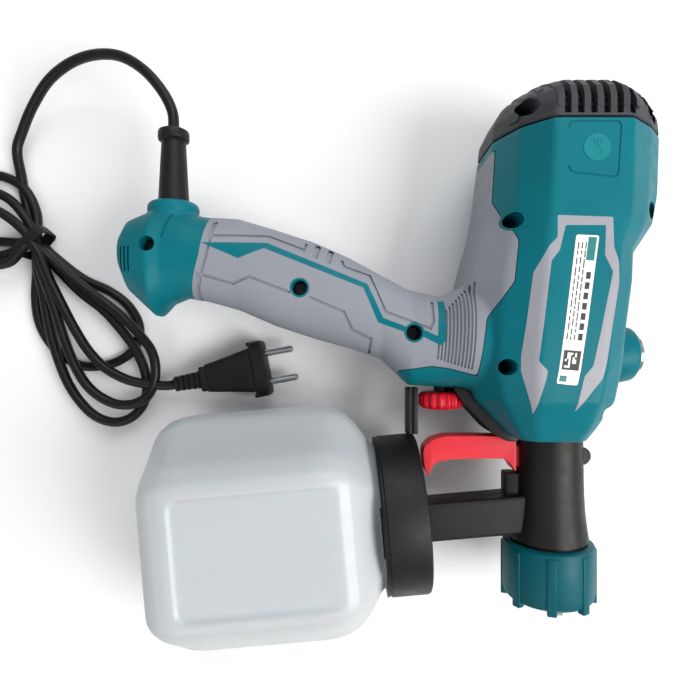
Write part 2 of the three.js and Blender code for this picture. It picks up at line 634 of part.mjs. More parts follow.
const gun = new THREE.Group();
for (const [name, shape, material] of PIECES) {
  const mesh = new THREE.Mesh(geometryOf(shape), material);
  mesh.name = name;
  gun.add(mesh);
}

// The origin is the middle of the bottom of the gun, leaving out the cord and its plug.
const bounds = new THREE.Box3();
for (const mesh of gun.children) if (!CORD_PIECES.includes(mesh.name)) bounds.expandByObject(mesh);
const middle = bounds.getCenter(new THREE.Vector3());
gun.position.set(-middle.x, -middle.y, -bounds.min.z);

export default gun;
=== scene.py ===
"""Looks for the turbine paint spray gun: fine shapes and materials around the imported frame.

Shapes are drawn in design millimetres, the ones the part was designed in, and placed in the row frame
at the end. +X points to the top of the gun, +Y to its rear, and the seam plane lies at Z = MID.
"""
import math

import bmesh
import bpy
import numpy as np
from mathutils import Matrix, Vector


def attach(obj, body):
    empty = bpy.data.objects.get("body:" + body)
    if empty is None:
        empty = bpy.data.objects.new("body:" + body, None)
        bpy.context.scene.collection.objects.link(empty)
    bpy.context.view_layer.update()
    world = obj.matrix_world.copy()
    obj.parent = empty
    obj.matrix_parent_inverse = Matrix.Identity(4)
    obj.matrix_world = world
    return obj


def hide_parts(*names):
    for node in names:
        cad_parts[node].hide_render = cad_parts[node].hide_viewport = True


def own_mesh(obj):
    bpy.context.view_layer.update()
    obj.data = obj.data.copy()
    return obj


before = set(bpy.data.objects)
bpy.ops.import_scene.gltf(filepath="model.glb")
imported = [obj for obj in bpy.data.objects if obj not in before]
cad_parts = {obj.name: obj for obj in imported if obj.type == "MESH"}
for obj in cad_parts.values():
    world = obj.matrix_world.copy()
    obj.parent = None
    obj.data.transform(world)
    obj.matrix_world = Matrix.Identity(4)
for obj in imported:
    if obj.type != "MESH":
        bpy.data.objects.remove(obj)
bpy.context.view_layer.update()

# ---------------- driving dimensions, millimetres
MM = 0.001
SHIFT = np.array([-18.25, 15.632, 0.0])     # from design millimetres to the row frame
MID = 52.0
BARREL_X = 117.0
PIVOT = (136.0, -61.5)
BARREL = (BARREL_X, 0, MID)
KNOB_X = 54.0
SEAM_Y = 116.0
CONTAINER_MOUTH = (17.0, -97.0)
CONTAINER_TILT = math.radians(5)
COLLAR_X = -104.4
BOSS_Y = -2.5
FEED_SIDE = -5.0
CORD_RADIUS = 3.2
PLUG_AT = (-116.0, -22.7, 13.5)
PLUG_TURN = math.radians(10.4)
SEAM_GAP = 0.12             # how far each half stays from the seam plane
CLEAR_TOP = 130.0           # a height above everything


# ---------------- materials
def linear(colour):
    """An sRGB colour, 0 to 255, as the linear colour that a shader takes."""
    return tuple(((c / 255 + 0.055) / 1.055) ** 2.4 if c > 10 else c / 255 / 12.92 for c in colour) + (1.0,)


def noise_node(tree, coordinates, scale, detail=3.0):
    node = tree.nodes.new("ShaderNodeTexNoise")
    node.inputs["Scale"].default_value = scale
    node.inputs["Detail"].default_value = detail
    tree.links.new(coordinates, node.inputs["Vector"])
    return node


def mapped(tree, value, low, high, out_low, out_high):
    node = tree.nodes.new("ShaderNodeMapRange")
    limits = {"From Min": low, "From Max": high, "To Min": out_low, "To Max": out_high}
    for name, limit in limits.items():
        node.inputs[name].default_value = limit
    tree.links.new(value, node.inputs["Value"])
    return node.outputs["Result"]


def moulded(name, colour, rough, grain=0.0, grain_mm=0.5, tone=0.08, rough_spread=0.06, **settings):
    """A moulded or metal surface: fine grain, slow changes of tone and uneven gloss."""
    material = bpy.data.materials.new(name)
    material.use_nodes = True
    tree = material.node_tree
    shader = tree.nodes["Principled BSDF"]
    place = tree.nodes.new("ShaderNodeTexCoord").outputs["Object"]
    slow = noise_node(tree, place, 38.0)
    ramp = tree.nodes.new("ShaderNodeValToRGB")
    base = np.array(linear(colour)[:3])
    ramp.color_ramp.elements[0].position = 0.3
    ramp.color_ramp.elements[0].color = (*(base * (1 - tone)), 1)
    ramp.color_ramp.elements[1].position = 0.7
    ramp.color_ramp.elements[1].color = (*np.minimum(base * (1 + tone), 1), 1)
    tree.links.new(slow.outputs["Fac"], ramp.inputs["Fac"])
    tree.links.new(ramp.outputs["Color"], shader.inputs["Base Color"])
    patches = noise_node(tree, place, 120.0, 5.0)
    gloss = mapped(tree, patches.outputs["Fac"], 0.3, 0.7, rough - rough_spread, rough + rough_spread)
    tree.links.new(gloss, shader.inputs["Roughness"])
    if grain > 0:
        fine = noise_node(tree, place, 1 / (grain_mm * MM), 2.0)
        bump = tree.nodes.new("ShaderNodeBump")
        bump.inputs["Strength"].default_value = grain
        bump.inputs["Distance"].default_value = 0.0002
        tree.links.new(fine.outputs["Fac"], bump.inputs["Height"])
        tree.links.new(bump.outputs["Normal"], shader.inputs["Normal"])
    for socket, value in settings.items():
        shader.inputs[socket.replace("_", " ")].default_value = value
    return material


TEAL = moulded("teal_shell", (0, 106, 118), 0.44, 0.10, 0.45, 0.05, Specular_IOR_Level=0.16)
EMBLEM_TEAL = moulded("emblem_teal", (16, 122, 130), 0.5, 0.1, 0.45, 0.05, Specular_IOR_Level=0.2)
DEEP_TEAL = moulded("teal_nut", (0, 84, 94), 0.44, 0.10, 0.45, 0.06, Specular_IOR_Level=0.16)
GREY_GRIP = moulded("grey_soft_grip", (139, 142, 151), 0.62, 0.30, 0.35, 0.03, Specular_IOR_Level=0.3)
GREY_TRIM = moulded("grey_inlay", (150, 150, 158), 0.46, 0.14, 0.4, 0.03)
DARK_CAP = moulded("dark_grey_cap", (54, 56, 60), 0.55, 0.35, 0.4, 0.05, Specular_IOR_Level=0.3)
BLACK = moulded("black_nylon", (10, 10, 11), 0.48, 0.25, 0.35, 0.08, Specular_IOR_Level=0.35)
BLACK_LID = moulded("black_lid", (10, 10, 12), 0.5, 0.4, 0.45, 0.08, Specular_IOR_Level=0.35)
RUBBER = moulded("cord_rubber", (5, 5, 6), 0.42, 0.15, 0.5, 0.1, Specular_IOR_Level=0.35)
PLUG_RUBBER = moulded("plug_rubber", (6, 6, 7), 0.6, 0.3, 0.5, 0.1, Specular_IOR_Level=0.35)
RED = moulded("red_trigger", (222, 50, 62), 0.4, 0.10, 0.5, 0.05, Specular_IOR_Level=0.25)
RED_KNOB = moulded("red_knob", (200, 10, 36), 0.34, 0.08, 0.5, 0.05, Specular_IOR_Level=0.3)
CHROME = moulded("bright_metal", (188, 189, 191), 0.2, 0.05, 0.2, 0.03, 0.04, Metallic=1.0)
STEEL = moulded("screw_steel", (54, 54, 58), 0.38, 0.2, 0.2, 0.06, Metallic=1.0)
BRASS = moulded("turned_brass", (186, 150, 84), 0.32, 0.1, 0.2, 0.05, Metallic=1.0)
IRON = moulded("motor_iron", (96, 97, 100), 0.5, 0.4, 0.4, 0.1, Metallic=0.9)
COPPER = moulded("motor_copper", (176, 104, 62), 0.36, 0.5, 0.6, 0.1, Metallic=0.9)
FOAM = moulded("filter_foam", (40, 40, 42), 0.95, 1.0, 1.2, 0.2)
CLEAR_GREY = moulded("clear_grey_nylon", (170, 176, 180), 0.3, 0.05, 0.4, 0.03, Transmission_Weight=0.35)
WHITE = moulded("white_nylon", (222, 222, 216), 0.42, 0.1, 0.4, 0.03, Subsurface_Weight=0.2)
LABEL = moulded("label_film", (238, 238, 234), 0.35, 0.04, 0.4, 0.01, Coat_Weight=0.3)
INK = moulded("label_ink", (44, 44, 48), 0.5, 0.0, 0.4, 0.02)
INK_GREEN = moulded("label_accent", (20, 120, 120), 0.5, 0.0, 0.4, 0.02)
MILKY = moulded(
    "milky_container", (190, 193, 196), 0.38, 0.12, 0.8, 0.015, Subsurface_Weight=0.45,
    Subsurface_Scale=0.01, Coat_Weight=0.05,
)
# What each slot is made of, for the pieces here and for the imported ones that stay.
FINISHES = {
    "teal_plastic": TEAL, "deep_teal_plastic": DEEP_TEAL, "dark_plastic": DARK_CAP, "black_plastic": BLACK,
    "grey_grip": GREY_GRIP, "grey_trim": GREY_TRIM, "red_plastic": RED, "milky_plastic": MILKY,
    "label_film": LABEL, "bright_metal": CHROME, "steel": STEEL, "brass": BRASS, "motor_iron": IRON,
    "motor_copper": COPPER, "cord_rubber": RUBBER, "gasket_rubber": RUBBER, "filter_foam": FOAM,
    "white_plastic": WHITE,
}


# ---------------- mesh tools
def made(name, vertices, faces, angle=40):
    """A mesh object from points in design millimetres, already placed in the row frame."""
    mesh = bpy.data.meshes.new(name)
    points = (np.asarray(vertices, float).reshape(-1, 3) + SHIFT) * MM
    mesh.from_pydata(points.tolist(), [], [list(face) for face in faces])
    mesh.validate()
    piece = bpy.data.objects.new(name, mesh)
    bpy.context.scene.collection.objects.link(piece)
    tidy_normals(piece, angle)
    return piece


def tidy_normals(piece, angle=40):
    """Faces point out, and edges sharper than the angle stay sharp."""
    form = bmesh.new()
    form.from_mesh(piece.data)
    bmesh.ops.recalc_face_normals(form, faces=form.faces)
    for face in form.faces:
        face.smooth = True
    limit = math.radians(angle)
    for edge in form.edges:
        edge.smooth = len(edge.link_faces) == 2 and edge.calc_face_angle(0) < limit
    form.to_mesh(piece.data)
    form.free()


def applied(piece, angle=None):
    """Replaces the mesh by what its modifiers make of it."""
    graph = bpy.context.evaluated_depsgraph_get()
    graph.update()
    mesh = bpy.data.meshes.new_from_object(piece.evaluated_get(graph))
    old = piece.data
    piece.modifiers.clear()
    piece.data = mesh
    bpy.data.meshes.remove(old)
    if angle is not None:
        tidy_normals(piece, angle)
    return piece


def combine(piece, others, operation, angle):
    """Joins, cuts or intersects a closed piece with others, which are used up."""
    for other in others:
        step = piece.modifiers.new(operation, "BOOLEAN")
        step.operation = operation
        step.solver = "MANIFOLD"
        step.object = other
    applied(piece, angle)
    for other in others:
        bpy.data.objects.remove(other)
    return piece


def less(piece, others, angle=None):
    return combine(piece, others, "DIFFERENCE", angle)


def plus(piece, others, angle=None):
    return combine(piece, others, "UNION", angle)


def within(piece, others):
    return combine(piece, others, "INTERSECT", None)


def twin(piece, name):
    copy = piece.copy()
    copy.data = piece.data.copy()
    copy.name = name
    bpy.context.scene.collection.objects.link(copy)
    return copy


def mirrored(piece, name):
    """The same shape on the other side of the seam plane."""
    copy = twin(piece, name)
    flip = Matrix.Translation((0, 0, 2 * MID * MM)) @ Matrix.Diagonal((1, 1, -1, 1))
    copy.data.transform(flip)
    copy.data.flip_normals()
    tidy_normals(copy, 45)
    return copy


def bevelled(piece, width, segments=2, angle=35):
    step = piece.modifiers.new("soft_edges", "BEVEL")
    step.width = width * MM
    step.segments = segments
    step.limit_method = "ANGLE"
    step.angle_limit = math.radians(angle)
    step.harden_normals = False
    return applied(piece, 40)


def loft(rings):
    """Vertices and faces of a skin over rings of equal length, closed at both ends."""
    count = len(rings[0])
    points = np.concatenate([np.asarray(ring, float) for ring in rings])
    faces = []
    for i in range(len(rings) - 1):
        for j in range(count):
            p, q = i * count + j, i * count + (j + 1) % count
            faces.append((p, q, q + count, p + count))
    faces.append(tuple(range(count))[::-1])
    faces.append(tuple(range((len(rings) - 1) * count, len(rings) * count)))
    return points, faces


def prism(outline, low, high, name="prism"):
    """A closed upright block over an outline in the XY plane."""
    rings = [[(x, y, z) for x, y in outline] for z in (low, high)]
    return made(name, *loft(rings))


def turned(name, axis, centre, profile, sides=64, angle=30):
    """A turned solid: profile points are (radius, place along the axis), closed on itself."""
    order = {"x": (2, 0, 1), "y": (0, 2, 1), "z": (0, 1, 2)}[axis]
    points = []
    for radius, along in profile:
        for k in range(sides):
            turn = 2 * math.pi * k / sides
            local = (radius * math.cos(turn), radius * math.sin(turn), along)
            points.append([local[i] for i in order])
    faces = []
    rows = len(profile)
    for i in range(rows):
        for j in range(sides):
            k = (j + 1) % sides
            n = (i + 1) % rows
            faces.append((i * sides + j, i * sides + k, n * sides + k, n * sides + j))
    piece = made(name, np.array(points) + np.array(centre), faces, angle)
    form = bmesh.new()
    form.from_mesh(piece.data)
    bmesh.ops.remove_doubles(form, verts=form.verts, dist=1e-6)
    bmesh.ops.dissolve_degenerate(form, edges=form.edges, dist=1e-7)
    form.to_mesh(piece.data)
    form.free()
    tidy_normals(piece, angle)
    return piece


def rod(name, axis, centre, radius, low, high, sides=32, edge=0.0):
    """A plain cylinder, with a chamfer where an edge is given."""
    if edge == 0:
        profile = [(0, low), (radius, low), (radius, high), (0, high)]
    else:
        profile = [(0, low), (radius - edge, low), (radius, low + edge), (radius, high - edge),
                   (radius - edge, high), (0, high)]
    return turned(name, axis, centre, profile, sides)


def rectangle(x, y):
    return [(x[0], y[0]), (x[1], y[0]), (x[1], y[1]), (x[0], y[1])]


def block(name, x, y, z):
    return prism(rectangle(x, y), z[0], z[1], name)


def smooth_path(points, step):
    """Points at even steps along a Catmull-Rom curve through the given ones."""
    points = np.asarray(points, float)
    ends = np.vstack([2 * points[0] - points[1], points, 2 * points[-1] - points[-2]])
    fine = []
    for i in range(1, len(ends) - 2):
        p0, p1, p2, p3 = ends[i - 1:i + 3]
        for t in np.linspace(0, 1, 24, endpoint=False):
            fine.append(0.5 * (2 * p1 + (p2 - p0) * t + (2 * p0 - 5 * p1 + 4 * p2 - p3) * t * t
                               + (3 * p1 - p0 - 3 * p2 + p3) * t ** 3))
    fine = np.array(fine + [points[-1]])
    runs = np.concatenate([[0], np.cumsum(np.linalg.norm(np.diff(fine, axis=0), axis=1))])
    count = max(2, int(round(runs[-1] / step)) + 1)
    places = np.linspace(0, runs[-1], count)
    return np.stack([np.interp(places, runs, fine[:, k]) for k in range(3)], axis=1)


def finished(piece, slot, *nodes, body="gun_body", material=None):
    """Gives a piece its material, from its slot's finish unless one is given, puts it on its body, and hides
    the CAD nodes that it stands for.
    """
    piece.data.materials.clear()
    piece.data.materials.append(material or FINISHES[slot])
    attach(piece, body)
    if nodes:
        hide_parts(*nodes)
    return piece


# ---------------- camera, floor and light
CAMERA_HEIGHT = 0.370       # above the floor, straight over the design origin
LENS = 27.6


def build_stage():
    camera = bpy.data.objects.new("camera", bpy.data.cameras.new("camera"))
    camera.data.lens = LENS
    camera.data.sensor_width = 36
    camera.data.clip_start = 0.01
    camera.location = (SHIFT[0] * MM, SHIFT[1] * MM, CAMERA_HEIGHT)
    bpy.context.scene.collection.objects.link(camera)
    bpy.context.scene.camera = camera

    bpy.ops.mesh.primitive_plane_add(size=6, location=(0, 0, 0))
    floor = bpy.context.object
    floor.name = "floor"
    white = moulded("floor_white", (246, 246, 246), 0.7, tone=0.0, Specular_IOR_Level=0.2)
    floor.data.materials.append(white)

    lights = [
        ("key", (0.85, -0.3, 1.0), 0.7, 15.0, (1.0, 0.99, 0.97)),
        ("rear", (0.2, 0.95, 0.9), 0.9, 7.0, (0.96, 0.98, 1.0)),
        ("front", (-0.5, -0.9, 0.9), 0.9, 3.5, (1.0, 1.0, 1.0)),
    ]
    for name, place, size, power, colour in lights:
        lamp = bpy.data.lights.new(name, "AREA")
        lamp.size = size
        lamp.energy = power
        lamp.color = colour
        holder = bpy.data.objects.new(name, lamp)
        holder.location = place
        holder.rotation_euler = (-Vector(place)).to_track_quat("-Z", "Y").to_euler()
        bpy.context.scene.collection.objects.link(holder)

    world = bpy.data.worlds.new("studio")
    world.use_nodes = True
    world.node_tree.nodes["Background"].inputs["Color"].default_value = (1, 1, 1, 1)
    world.node_tree.nodes["Background"].inputs["Strength"].default_value = 0.4
    bpy.context.scene.world = world
    bpy.context.scene.view_settings.view_transform = "Standard"


# ---------------- mains lead
LAID = CORD_RADIUS + 0.2    # height of the centreline where the lead lies on the floor
LEAD_ROUTE = [
    (-104.4, 130.8, 52), (-105.2, 141, 52), (-111, 153, 52), (-123, 167, 50), (-139, 177.5, 46),
    (-158, 182, 39), (-177, 181, 31), (-195, 174, 23), (-210, 161, 15), (-220, 147, 9.5), (-225.5, 135, 6.5),
    (-224, 118, LAID + 0.6), (-221, 100, LAID), (-216, 84, LAID + 1),
]
TIE = (-211.0, 72.0)
PASS_HEIGHT = LAID + 2.0    # of the first pass through the tie
PASS_STEP = 2.1             # from one pass to the next
LAYER_STEP = 5.94           # from one pair of loops to the next
# The loops that lie beside the handle, each from the tie out and back, in turn with the small ones behind it.
LOOPS = [
    [(-197, 60), (-181, 48), (-164, 40), (-152, 31), (-145, 20), (-144, 10), (-149, -1), (-159, -8),
     (-171, -11), (-184, -10.5), (-196, -4), (-206, 7), (-212, 20), (-214, 36), (-213, 54)],
    [(-213, 92), (-222, 110), (-240, 119), (-259, 114), (-268, 99), (-262, 83), (-246, 75), (-228, 73)],
    [(-194, 52), (-180, 38), (-166, 27), (-154, 14), (-143, -1.5), (-137, -18), (-137.5, -33), (-145, -44),
     (-157, -48.5), (-170, -45), (-181, -35), (-190, -21), (-197, -3), (-202, 16), (-206, 38), (-210, 56)],
    [(-217, 88), (-230, 102), (-248, 107), (-265, 99), (-271, 83), (-262, 68), (-245, 62), (-227, 65)],
    [(-196, 58), (-184, 48), (-170, 37), (-154, 25), (-140, 11), (-131, -1), (-128.5, -15), (-132, -28),
     (-141, -35), (-153, -36), (-165, -31), (-175, -22), (-183, -8), (-190, 10), (-197, 32), (-205, 54)],
    [(-221, 84), (-236, 93), (-252, 92), (-262, 81), (-257, 66), (-242, 57), (-225, 58)],
]
LAST_RUN = [
    (-197, 44, 16.2), (-189, 28, 16.2), (-181, 13, 16.2), (-172, -1, 16.2), (-161, -12, 16.2),
    (-147, -19.5, 16.2), (-133, -22.7, 14.8), (-121.2, -23.7, 13.2),
]


def cord_route():
    """The whole centreline, in design millimetres: the lead, the tied loops and the run to the plug."""
    points = list(LEAD_ROUTE)
    for turn, loop in enumerate(LOOPS):
        through = PASS_HEIGHT + PASS_STEP * turn
        points.append((TIE[0] + 1.6 * math.cos(2.4 * turn), TIE[1] + 1.6 * math.sin(2.4 * turn), through))
        for k, (x, y) in enumerate(loop):
            away = math.sin(math.pi * (k + 1) / (len(loop) + 1)) ** 0.5
            lying = LAID + LAYER_STEP * (turn // 2)
            points.append((x, y, through * (1 - away) + lying * away))
    points.append((TIE[0] + 2, TIE[1] - 2, PASS_HEIGHT + PASS_STEP * len(LOOPS)))
    points += LAST_RUN
    points.append((PLUG_AT[0] - 0.3, PLUG_AT[1] - 0.05, PLUG_AT[2]))
    return np.array(points)


def tube_mesh(name, path, radius, sides):
    """A round tube along a path, with frames carried along it so that it doesn't twist."""
    path = np.asarray(path, float)
    heading = np.gradient(path, axis=0)
    heading /= np.linalg.norm(heading, axis=1)[:, None]
    side = np.cross(heading[0], (0, 0, 1.0))
    rings = []
    for centre, ahead in zip(path, heading):
        side = side - ahead * side.dot(ahead)
        side /= np.linalg.norm(side)
        up = np.cross(side, ahead)
        turns = np.linspace(0, 2 * math.pi, sides, endpoint=False)
        rings.append(centre + radius * (np.outer(np.cos(turns), side) + np.outer(np.sin(turns), up)))
    return made(name, *loft(rings), 60)


# ---------------- housing form
# Sections across Y: [y, left, right, flat from, flat to, half thickness, half height of the side].
BODY = [
    (-49, 91, 129, 99, 122, 34, 16), (-42, 84, 134, 97, 124, 40, 18), (-27, 70, 146.5, 95, 126, 48, 20),
    (-10, 64, 149, 94, 128, 51, 22), (12, 64, 151, 95, 129, 52, 24), (36, 65, 153, 98, 133, 52, 25),
    (52, 69, 153.5, 98, 134, 52, 24), (68, 73.5, 164, 100, 139, 52, 22), (84, 76, 166.5, 101, 140, 52, 20),
    (SEAM_Y, 79.5, 169, 102, 141, 52, 18),
]
CAP = [
    (SEAM_Y, 79.5, 169, 102, 141, 52, 18), (125, 80.5, 168, 103, 141, 51.6, 18),
    (132, 84, 163, 106, 138, 49, 18), (138, 90, 157, 109, 135, 42, 17), (143.5, 100, 148, 113, 132, 29, 14),
]
# Handle sections across X: [x, upper edge, lower edge, half thickness].
HANDLE = [
    (-132.5, 68, 45, 14), (-128, 76, 33.5, 18.5), (-112.5, 82, 19.2, 25), (-105.5, 82.5, 26.5, 22.3),
    (-96, 80, 30.5, 22.2), (-83, 77.5, 28.5, 21.5), (-65, 76.5, 23.5, 21.5), (-43, 70, 14, 22),
    (-20, 62.5, 6.5, 22.5), (0, 53.5, 1, 23), (18, 43.5, -5, 24), (34, 35, -20.5, 26), (52, 31, -21.5, 30),
    (64, 36, -22.5, 36), (74, 42, -26, 38),
]


def softened(corners, radius, steps=5):
    """A closed outline with each corner turned into a short arc."""
    corners = np.asarray(corners, float)
    outline = []
    for i, corner in enumerate(corners):
        before, after = corners[i - 1] - corner, corners[(i + 1) % len(corners)] - corner
        reach = min(radius, 0.45 * np.linalg.norm(before), 0.45 * np.linalg.norm(after))
        start = corner + before / np.linalg.norm(before) * reach
        end = corner + after / np.linalg.norm(after) * reach
        for t in np.linspace(0, 1, steps):
            outline.append((1 - t) ** 2 * start + 2 * t * (1 - t) * corner + t * t * end)
    return np.array(outline)


def stations(table, step):
    """The rows of a table of sections at even steps of its first column."""
    table = np.asarray(table, float)
    places = np.linspace(table[0, 0], table[-1, 0], int((table[-1, 0] - table[0, 0]) / step) + 1)
    places = np.unique(np.concatenate([places, table[:, 0]]))
    return np.stack([np.interp(places, table[:, 0], column) for column in table.T], axis=1)


def body_ring(row, radius=2.2):
    y, left, right, flat_from, flat_to, half, side = row
    crown = (half + side) / 2 + 4
    top_side = side + np.interp(y, [36, 84, 132, 143.5], [0, 8, 7, 2])
    upper = [
        (left, side), ((left + flat_from) / 2 - 2, crown), (flat_from, half), (flat_to, half),
        ((right + flat_to) / 2 + 2, max(crown, top_side + 6)), (right, top_side),
    ]
    outline = softened(upper + [(x, -z) for x, z in reversed(upper)], radius)
    return [(x, y, MID + z) for x, z in outline]


def handle_ring(row, sides=72):
    x, high, low, half = row
    turns = np.linspace(0, 2 * math.pi, sides, endpoint=False)
    c, s = np.cos(turns), np.sin(turns)
    across = np.sign(c) * np.abs(c) ** 0.86
    up = np.sign(s) * np.abs(s) ** 0.86
    height = (high + low) / 2 + across * (high - low) / 2
    return np.stack([np.full(sides, x), height, MID + up * half], axis=1)


def remeshed(piece, voxel):
    """One even, gently rounded skin over a joined form."""
    even = piece.modifiers.new("even", "REMESH")
    even.mode = "VOXEL"
    even.voxel_size = voxel * MM
    soft = piece.modifiers.new("soft", "SMOOTH")
    soft.factor = 0.5
    soft.iterations = 3
    return applied(piece, 60)


# Voxel sizes of the even skins.
VOXEL = 1.0
CAP_VOXEL = 0.8
CONTAINER_VOXEL = 1.1


def housing_form():
    """The outside of motor housing and handle as one skin, before it is split into pieces."""
    body = made("housing_form", *loft([body_ring(row) for row in stations(BODY, 4)]))
    handle = made("handle_form", *loft([handle_ring(row) for row in stations(HANDLE, 4)]))
    collar = turned("collar", "y", (COLLAR_X, 0, MID), [
        (0, 74), (15, 74), (15, 78), (14.2, 80), (15, 82), (14.6, 85), (12.8, 86.5), (0, 86.5)])
    boss = turned("boss", "x", (0, BOSS_Y, MID), [
        (0, 140), (17.6, 140), (16.8, 158), (15.8, 164), (13.8, 165.7), (0, 165.7)])
    plus(body, [handle, collar, boss])
    return remeshed(body, VOXEL)


def shifted(piece, amount, name="shifted"):
    """A copy with its surface moved out, or in where the amount is negative, by that many millimetres."""
    copy = twin(piece, name)
    mesh = copy.data
    place = np.empty(len(mesh.vertices) * 3)
    normal = np.empty(len(mesh.vertices) * 3)
    mesh.vertices.foreach_get("co", place)
    mesh.vertex_normals.foreach_get("vector", normal)
    mesh.vertices.foreach_set("co", place + normal * amount * MM)
    mesh.update()
    return copy


def region(outline, radius=0.0, low=-10.0, high=120.0):
    """An upright block over an outline, with its corners rounded where a radius is given."""
    if radius > 0:
        outline = softened(outline, radius, 4)
    return prism([tuple(point) for point in outline], low, high, "region")


def band(path, width):
    """The outline of a strip of even width along a path of points, with square ends."""
    path = np.asarray(path, float)
    left, right = [], []
    for i, point in enumerate(path):
        before = path[max(i - 1, 0)]
        after = path[min(i + 1, len(path) - 1)]
        steps = [d / np.linalg.norm(d) for d in (point - before, after - point) if np.linalg.norm(d) > 0]
        along = sum(steps) / np.linalg.norm(sum(steps))
        across = np.array([-along[1], along[0]])
        spread = width / 2 / max(0.4, abs(along.dot(steps[0])))
        left.append(point + across * spread)
        right.append(point - across * spread)
    return left + right[::-1]


# ---------------- housing, skins and label
GRIP_EDGE = [(27.3, -11.4), (44.7, -8.7), (53.4, -9.8), (68, -13.6), (71.5, 16.3), (83.7, 35), (86, 56),
             (80, 71), (77.5, 80), (80, 110)]
GRIP_OUTLINE = [
    (-80, 95), (-80, 74.5), (-84, 52), (-91, 28), (-95, 0), (27, -40), *GRIP_EDGE, (50, 110), (50, 95),
]
TRIM_OUTLINE = [
    (103, 67), (130.5, 66), (131, 51), (133.5, 44), (134, 32.5), (128, -5.5), (126, -14.5), (114, -31.5),
    (117, -13), (121, -8), (130.5, 39), (126.5, 47), (127, 62), (107, 62), (104, 49.5), (100, 44.5),
    (94, -5.5), (98.5, -10.5), (98, -14.5), (93.5, -33), (86.5, -10.5), (86.5, -3), (92, 39), (99, 52),
    (103, 56),
]
LABEL_OUTLINE = [(112, 57.5), (123.8, 57), (114, -18), (103, -17)]
EMBLEM_PANEL = [(108.6, 113.4), (134.6, 113.4), (132.8, 85.6), (108.6, 88.4)]
EMBLEM_AT = (122.6, 100.6)
HOUSING_SCREWS = [(-112, 58.6), (-27.8, 34.4), (35, 9.5), (84.5, 67), (81, -8.8), (160, 74), (136, -33)]
CAP_SCREWS = [(92, 126), (159, 125)]
BORE = 4.3                  # radius of the wells that the screws lie in
WELL_FLOOR = 58.4           # height of their floors above the ground
SKIN = 1.9                  # the soft skin's thickness
WALL = 3.6
LINE = 0.9                  # width of the fine grooves
STRIPES = [
    [(-82.5, 59.6), (-46.2, 59.6), (9.6, 36.6), (18.2, 17.6), (31.4, 12.4), (30.6, 9.6), (15.4, 15.2),
     (7.4, 34.4), (-47.8, 56.6), (-62, 50.8)],
    [(40.2, 7.0), (48.6, 2.6), (51.4, 4.6), (52.2, 27.1), (48.6, 27.1), (47.4, 7.4), (40.6, 10.8)],
]
GROOVES = [
    [(-76.3, 71.8), (-78.2, 63.5), (-45.8, 63.7), (-25.6, 55.8), (-24.6, 60.2)],
    [(-4.7, 50.3), (-3.4, 46.4), (11, 41.4), (19.3, 21), (43.6, 11.6), (45.3, 15.5), (45.3, 26.5)],
    [(-85.8, 28.7), (-84.5, 42.5), (-64.9, 37), (-56, 40.6), (-33.1, 31.8)],
    [(-22.4, 29.3), (-3.4, 21), (1.1, 11.6), (11.8, 6.4), (11, -1.7)],
    [(-75.2, 72.3), (-79.6, 52), (-87, 28.7), (-88, 10)],
]
WINDOWS = [(-18.9, 55.2), (-11.6, 52.5)]
GRIP_RIBS = 11
COLLAR_CREASE = [(-104.4, 62), (-100.6, 77)]
COLLAR_RIBS = (-129, -126.4, -123.8)


def slab(form, outline, outer, depth, radius=1.2):
    """What lies under an outline between two shifted skins of the form."""
    piece = within(region(outline, radius), [shifted(form, outer)])
    return less(piece, [shifted(form, -depth)])


def bed(form, outline, depth, radius=1.2):
    """The space over an outline down to a depth below the form's skin."""
    return less(region(outline, radius), [shifted(form, -depth)])


def wells(places, radius=BORE):
    return [rod("well", "z", (x, y, 0), radius, WELL_FLOOR, 125, sides=40) for x, y in places]


def posts(form, places, radius, cover):
    """Posts round the screws, which end a little below the form's skin."""
    rods = [rod("post", "z", (x, y, 0), radius, MID + SEAM_GAP, 120) for x, y in places]
    return [within(post, [shifted(form, -cover)]) for post in rods]


def upper(piece, top=2 * MID - 0.05):
    """Keeps what lies above the seam plane, up to the flat that the gun can lie on."""
    above = block("above", (-200, 240), (-200, 240), (MID + SEAM_GAP, top))
    return within(piece, [above])


def both(piece, slot, right, left):
    """The right-hand piece and its mirror image, each in place of its CAD node."""
    other = mirrored(piece, left + "_look")
    finished(piece, slot, right)
    finished(other, slot, left)


def housing(form):
    """The two shells, with beds for what lies in them and bores for what passes through."""
    shell = twin(form, "right_housing_look")
    less(shell, [shifted(form, -WALL)])
    plus(shell, posts(form, HOUSING_SCREWS, 6.4, 0.5))
    upper(shell)
    cuts = [bed(form, GRIP_OUTLINE, SKIN + 0.15), bed(form, TRIM_OUTLINE, 1.3, 0.8), *wells(HOUSING_SCREWS)]
    cuts.append(bed(form, LABEL_OUTLINE, 0.45, 1.0))
    cuts.append(bed(form, band(GRIP_EDGE, LINE), SKIN + 0.6, 0))
    cuts.append(bed(form, band(softened(EMBLEM_PANEL, 3.0), LINE), 0.5, 0))
    cuts.append(bed(form, band(COLLAR_CREASE, LINE), 0.6, 0))
    cuts += [block("rib", (x, x + 1.1), (44, 58), (MID - 5, 90)) for x in COLLAR_RIBS]
    cuts.append(rod("barrel_bore", "y", BARREL, 20.2, -60, -39.4, sides=64))
    cuts.append(rod("guard_bore", "y", (COLLAR_X, 0, MID), 10.2, 70, 100, sides=40))
    cuts.append(rod("flow_bore", "y", (KNOB_X, 0, MID), 4.9, -30, -8, sides=32))
    cuts.append(block("trigger_slot", (74, 101), (-56, -36), (MID - 8.2, MID + 8.2)))
    less(shell, cuts, 38)
    both(shell, "teal_plastic", "right_housing", "left_housing")


